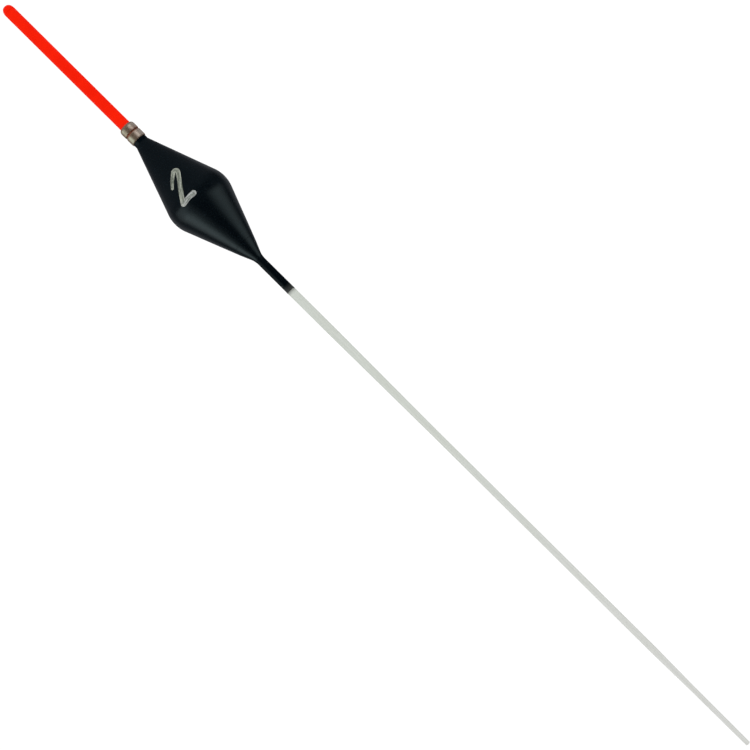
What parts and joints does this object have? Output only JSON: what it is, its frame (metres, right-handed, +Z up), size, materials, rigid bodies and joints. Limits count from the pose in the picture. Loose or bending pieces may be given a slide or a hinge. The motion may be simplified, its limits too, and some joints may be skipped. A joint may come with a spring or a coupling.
{
  "type": "fishing float",
  "caption": "Slender pole float with a double-cone body, a pull-out hollow antenna, a plated line collar and a long tapered stem.",
  "frame": {"origin": "on the float's axis, in the open groove halfway between the two bands of the line collar, where the float sits in the water surface", "axes": "+Z up along the float's axis, from the stem's end towards the antenna's tip; the float is turned, so X and Y are equal"},
  "size_m": [0.0166, 0.0166, 0.25],
  "materials": {
    "antenna_plastic": "satin fluorescent orange-red",
    "plated_bands": "warm nickel plate, finely turned",
    "sleeve_brass": "tarnished brass tube",
    "plug_resin": "cured resin",
    "hard_fittings": "moulded plastic under satin black lacquer",
    "lacquered_balsa": "balsa under satin black lacquer",
    "glass_fibre": "ground glass-fibre rod, satin, pale grey"
  },
  "bodies": {
    "float": {"upper_band": "plated_bands", "lower_band": "plated_bands", "socket_sleeve": "sleeve_brass", "socket_plug": "plug_resin", "neck_bush": "hard_fittings", "float_body": "lacquered_balsa", "tail_collar": "hard_fittings", "stem": "glass_fibre"},
    "antenna": {"antenna_tube": "antenna_plastic", "antenna_tip_plug": "antenna_plastic"}
  },
  "joints": [
    {"name": "antenna_pull", "type": "slide", "parent": "float", "child": "antenna", "axis": [0, 0, 1], "range_m": [0, 0.0108]}
  ]
}
